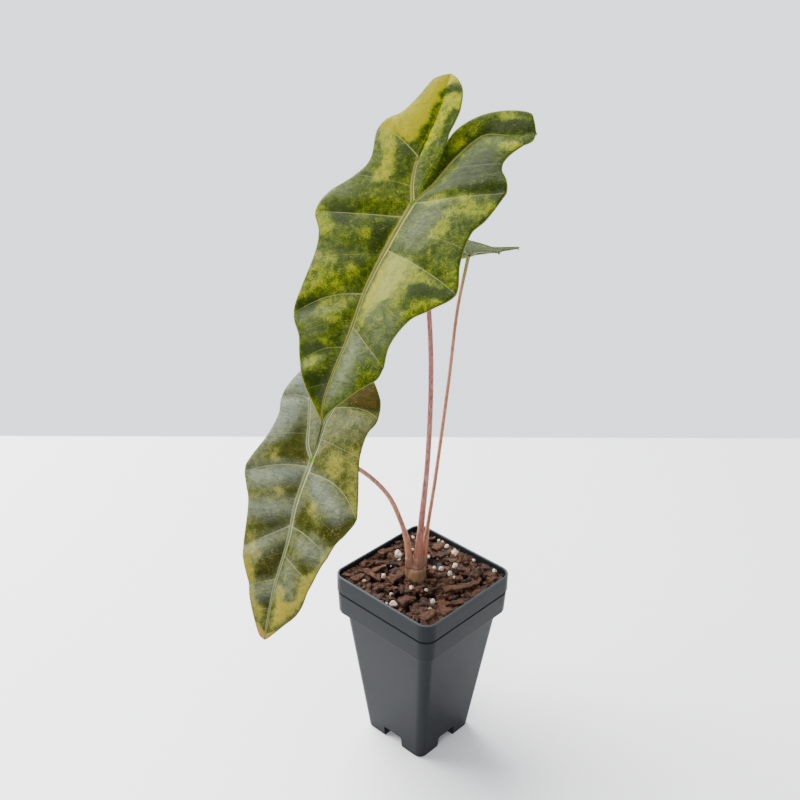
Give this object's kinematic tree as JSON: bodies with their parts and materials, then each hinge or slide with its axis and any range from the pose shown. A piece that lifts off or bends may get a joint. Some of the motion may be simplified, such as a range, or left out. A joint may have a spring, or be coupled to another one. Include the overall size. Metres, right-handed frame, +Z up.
{
  "type": "potted alocasia sanderiana",
  "caption": "House plant with large arrow-shaped, wavy-edged mottled leaves on slim stalks that rise from bark mix in a tapered square nursery pot.",
  "frame": {"origin": "on the ground, under the middle of the whole plant's bounding box", "axes": "+Z up; -Y is the side the two large leaf tips hang towards, as the picture sees it; +X to the viewer's right"},
  "size_m": [0.1216, 0.1174, 0.331],
  "materials": {
    "pot_plastic": "satin dark grey",
    "bark_mix": "rough reddish-brown bark with white perlite",
    "stem": "matt pinkish brown",
    "red_stalk": "satin pinkish red with darker flecks",
    "tan_stalk": "satin orange-pink",
    "blade": "waxy green, mottled with yellow-green",
    "blade_grey": "waxy grey-green, mottled with yellow-green"
  },
  "bodies": {
    "root": {"pot": "pot_plastic", "soil": "bark_mix", "stem_base": "stem", "petiole_front": "red_stalk", "petiole_low": "tan_stalk", "petiole_back": "tan_stalk", "leaf_front": "blade", "leaf_low": "blade_grey", "leaf_back": "blade_grey"}
  },
  "joints": []
}
